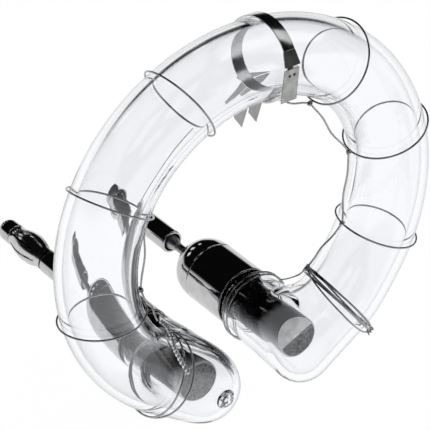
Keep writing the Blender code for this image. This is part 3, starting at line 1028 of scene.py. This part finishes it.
    def add_knot(self, name: str, angle: float, turn: float, twists: float = 2.0) -> None:
        """Shows a few tight twists of wire, lying along the ring at a place on its glass."""
        route = []
        steps = int(twists * 16)
        for i in range(steps + 1):
            share = i / steps
            phase = tau * twists * share
            station = radians(angle + (share - 0.5) * self.knot_pitch * twists)
            swing = radians(turn) + self.knot_coil * sin(phase) / self.spine_line
            route.append(self.layout.around(station, swing, self.spine_line + self.knot_coil * cos(phase)))
        self.add(name, route, False, radius=self.knot_wire)

    def build_strands(self) -> None:
        """Makes the loose strands that cross the front of the right end between its two knots."""
        first, last = self.strand_turns
        for number, (start, middle, end, rise) in enumerate(self.strands, 1):
            route = []
            for i in range(self.loop_steps + 1):
                share = i / self.loop_steps
                angle = (1.0 - share) ** 2 * start + 2.0 * share * (1.0 - share) * middle + share ** 2 * end
                turn = radians(first + (last - first) * share)
                line = self.line + self.strand_lift + rise * sin(pi * share)
                route.append(self.layout.around(radians(angle), turn, line))
            self.add(f"wire_strand_{number}", route, False, radius=self.strand_wire)

    def build_tail(self) -> None:
        """Makes the twisted pair that lies over the front of the glass between the left end turns."""
        places = smooth_route([Vector(place) for place in self.tail], self.tail_steps)
        for strand in (0, 1):
            route = []
            for i, (angle, turn) in enumerate(places):
                phase = tau * (self.tail_twists * i / (len(places) - 1) + strand / 2.0)
                across = self.tail_coil * cos(phase)
                station = radians(angle) + across / self.layout.ring_radius
                swing = radians(turn) + across / self.spine_line
                route.append(self.layout.around(station, swing, self.tail_line + self.tail_coil * sin(phase)))
            stands_for = ["wire_twisted_tail"] if strand == 0 else []
            # The tail's strands take the lighter copy of the trigger wire, as painted highlights.
            self.add(f"wire_tail_strand_{strand + 1}", route, False, stands_for, self.tail_wire,
                     Finish.painted_highlight_wire)


@dataclass
class ContactStrap:
    """The spring band round the top of the ring, its clip and its three contact tongues."""

    layout: Layout
    angle: float = radians(174.0)
    lean: float = 0.09
    lean_turn: float = radians(295.0)
    width: float = 2.0
    thickness: float = 0.2
    gap: float = 0.3
    clip_turn: float = radians(66.0)
    clip_x: float = 2.97
    clip_thickness: float = 0.3
    clip: Outline = ((-1.0, 1.15), (1.0, 1.15), (1.35, -1.15), (-1.35, -1.15))
    tongue_thickness: float = 0.15
    front_tongue: Outline = ((-1.3, 0.0), (1.3, 0.0), (0.85, -5.1), (-1.9, -5.1))
    front_tongue_top: Triple = (2.75, -6.95, 27.6)
    bridge: Outline = ((-1.0, -0.9), (0.9, -0.9), (4.9, -2.35), (0.1, -2.35))
    bridge_top: Triple = (2.6, 4.9, 21.3)
    prong: Outline = ((-1.12, 0.0), (1.12, 0.0), (0.0, -3.6), (-1.0, -6.45), (-2.4, -4.35), (-2.25, -3.7))
    prong_tops: tuple[tuple[str, Triple], ...] = (
        ("left", (3.8, 4.9, 18.6)),
        ("right", (6.37, 4.9, 18.6)),
    )
    upright: float = pi / 2
    edge_roll: float = 0.2

    def sheet_piece(self, name: str, finish: Finish, body: str, replaces: Sequence[str], outline: Outline,
                    middle: Vector, turn: float, thickness: float) -> None:
        """Shows a flat cut piece with softly rolled edges."""
        stand = Matrix.Rotation(turn, 3, "X")
        shape = bmesh.new()
        flat = [Vector((x, y, -thickness / 2.0)) for x, y in outline]
        corners = [shape.verts.new(middle + stand @ point * MM) for point in flat]
        face = shape.faces.new(corners)
        raised = bmesh.ops.extrude_face_region(shape, geom=[face])
        lifted = [v for v in raised["geom"] if isinstance(v, bmesh.types.BMVert)]
        bmesh.ops.translate(shape, verts=lifted, vec=stand @ Vector((0.0, 0.0, thickness * MM)))
        roll = thickness * self.edge_roll * MM
        bmesh.ops.bevel(shape, geom=shape.edges, offset=roll, segments=2, affect="EDGES")
        mesh = bpy.data.meshes.new(name)
        shape.to_mesh(mesh)
        shape.free()
        show(name, shaded(mesh), finish, body, replaces)

    def build(self) -> None:
        """Makes the band, the clip, the bridge and the tongues."""
        layout = self.layout
        tangent = Vector((cos(self.angle), 0.0, sin(self.angle)))
        lean = layout.outward(self.angle) * cos(self.lean_turn) - BACK * sin(self.lean_turn)
        axis = (tangent - lean * self.lean).normalized()
        centre = layout.centre + layout.outward(self.angle) * layout.ring_radius * MM
        inner = layout.tube_radius + self.gap
        outer = inner + self.thickness
        half = self.width / 2.0
        lip = inner + 0.02
        band = rounded(((-half, lip), (-half, outer), (half, outer), (half, lip)), 0.05, 3)
        mesh = lathe_mesh("band", band, centre, 192, ((-half, inner), (half, inner)), axis)
        show("trigger_band_piece", mesh, Finish.spring_steel, replaces=["trigger_band"])
        clip_line = outer + self.gap + self.clip_thickness / 2.0
        clip_place = layout.around(self.angle, self.clip_turn, clip_line)
        clip_place.x = self.clip_x * MM
        self.sheet_piece("strap_clip_piece", Finish.spring_steel, "lamp", ["strap_clip"],
                         self.clip, clip_place, self.clip_turn, self.clip_thickness)
        self.sheet_piece("front_tongue_piece", Finish.welded_contact, "front_tongue",
                         ["contact_tongue_front"], self.front_tongue, layout.at(*self.front_tongue_top),
                         self.upright, self.tongue_thickness)
        self.sheet_piece("rear_bridge_piece", Finish.matt_contact, "lamp", ["rear_contact_bridge"],
                         self.bridge, layout.at(*self.bridge_top), self.upright, self.thickness)
        for word, top in self.prong_tops:
            self.sheet_piece(f"rear_{word}_tongue_piece", Finish.matt_contact, f"rear_{word}_tongue",
                             [f"contact_tongue_rear_{word}"], self.prong, layout.at(*top), self.upright,
                             self.tongue_thickness)


@dataclass
class HiddenSeals:
    """The seal beads and the cement inside the caps, which keep their CAD shapes."""

    def dress(self) -> None:
        """Gives each its finish."""
        for prefix in ("left", "right"):
            for node, finish in (("seal_bead", Finish.clear_glass), ("cap_cement", Finish.cement)):
                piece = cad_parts[f"{prefix}_{node}"]
                piece.data.materials.clear()
                piece.data.materials.append(finish.material())
                LOG.info("%s: dressed", piece.name)


@dataclass(frozen=True)
class Window:
    """A bright rectangle in the dark sky: its direction, half its width and height, and its strength."""

    direction: Triple
    width: float
    height: float
    strength: float


@dataclass
class Studio:
    """A white floor, a dark sky with a few windows over a bright horizon, and the camera."""

    layout: Layout
    azimuth: float = -35.76
    elevation: float = 32.81
    distance: float = 507.6
    shift_right: float = -4.461
    shift_up: float = 0.591
    lens: float = 293.0
    sensor: float = 36.0
    floor_size: float = 12.0
    floor_drop: float = 0.1
    floor_grey: float = 0.08
    floor_glow: float = 0.985
    horizon: float = 0.16
    low_glow: float = 0.9
    night: float = 0.004
    soft_edge: float = 0.85
    windows: tuple[Window, ...] = (
        Window((-0.55, -0.45, 0.70), 0.16, 0.20, 0.9),
        Window((-0.15, -0.60, 0.78), 0.14, 0.18, 0.9),
        Window((0.60, -0.18, 0.76), 0.22, 0.46, 1.0),
        Window((-0.30, 0.86, 0.40), 0.09, 0.10, 1.2),
        Window((-0.02, 0.90, 0.42), 0.07, 0.10, 1.2),
        Window((0.26, 0.84, 0.46), 0.05, 0.08, 1.0),
    )

    def floor(self) -> None:
        """Lays the floor, bright enough to lose its shadows."""
        bpy.ops.mesh.primitive_plane_add(size=self.floor_size, location=(0.0, 0.0, -self.floor_drop * MM))
        floor = bpy.context.object
        floor.name = "studio_floor"
        shader = Shader(bpy.data.materials.new("floor_white"))
        diffuse = shader.node("ShaderNodeBsdfDiffuse", None, {"Color": (*[self.floor_grey] * 3, 1.0)})
        glow = shader.node("ShaderNodeEmission", None, {"Color": WHITE, "Strength": self.floor_glow})
        both = shader.node("ShaderNodeAddShader", None, {0: diffuse.outputs[0], 1: glow.outputs[0]})
        shader.node("ShaderNodeOutputMaterial", None, {"Surface": both.outputs[0]})
        floor.data.materials.append(shader.owner)

    def sky(self) -> None:
        """Darkens the world above the horizon, but for the windows."""
        world = bpy.data.worlds.new("studio")
        bpy.context.scene.world = world
        shader = Shader(world)
        direction = shader.node("ShaderNodeTexCoord").outputs["Generated"]
        split = shader.node("ShaderNodeSeparateXYZ", None, {0: direction})
        x, y, z = (Val(shader, split.outputs[name]) for name in "XYZ")
        light = (1.0 - z.step(0.0, self.horizon)) * self.low_glow + self.night
        for window in self.windows:
            centre = Vector(window.direction).normalized()
            right = centre.cross(Vector((0.0, 0.0, 1.0))).normalized()
            up = right.cross(centre)
            across, rise, ahead = (x * way.x + y * way.y + z * way.z for way in (right, up, centre))
            inside = ahead.step(0.0, 0.1)
            for offset, reach in ((across, window.width), (rise, window.height)):
                inside = inside * (1.0 - offset.math("ABSOLUTE").step(reach * self.soft_edge, reach))
            light = light + inside * window.strength
        background = shader.node("ShaderNodeBackground", None, {"Color": WHITE, "Strength": light})
        shader.node("ShaderNodeOutputWorld", None, {"Surface": background.outputs[0]})

    def camera(self) -> None:
        """Places the camera."""
        a = radians(self.azimuth)
        e = radians(self.elevation)
        back = Vector((sin(a) * cos(e), -cos(a) * cos(e), sin(e)))
        right = Vector((cos(a), sin(a), 0.0))
        up = back.cross(right)
        data = bpy.data.cameras.new("camera")
        data.lens = self.lens
        data.sensor_width = self.sensor
        data.clip_start = 0.01
        camera = bpy.data.objects.new("camera", data)
        bpy.context.scene.collection.objects.link(camera)
        camera.rotation_mode = "QUATERNION"
        camera.rotation_quaternion = (-back).to_track_quat("-Z", "Y")
        camera.location = self.layout.centre + (right * self.shift_right + up * self.shift_up
                                                + back * self.distance) * MM
        bpy.context.scene.camera = camera

    def build(self) -> None:
        """Sets up the whole studio."""
        self.floor()
        self.sky()
        self.camera()
        bpy.context.scene.view_settings.view_transform = "Standard"


def main() -> None:
    """Builds the lamp and its studio."""
    logging.basicConfig(level=logging.INFO, format="%(message)s")
    layout = Layout()
    Studio(layout).build()
    GlassEnvelope(layout).build()
    for side, prefix, radius, finish in ((-1, "left", 3.5, Finish.painted_light_electrode_left),
                                         (1, "right", 3.35, Finish.polished_electrode)):
        Electrode(layout, side, prefix, radius, finish, side > 0).build()
        EndCap(layout, side, prefix).build()
        Plug(layout, side, prefix).build()
    TriggerWire(layout).build()
    ContactStrap(layout).build()
    HiddenSeals().dress()


if __name__ == "__main__":
    main()
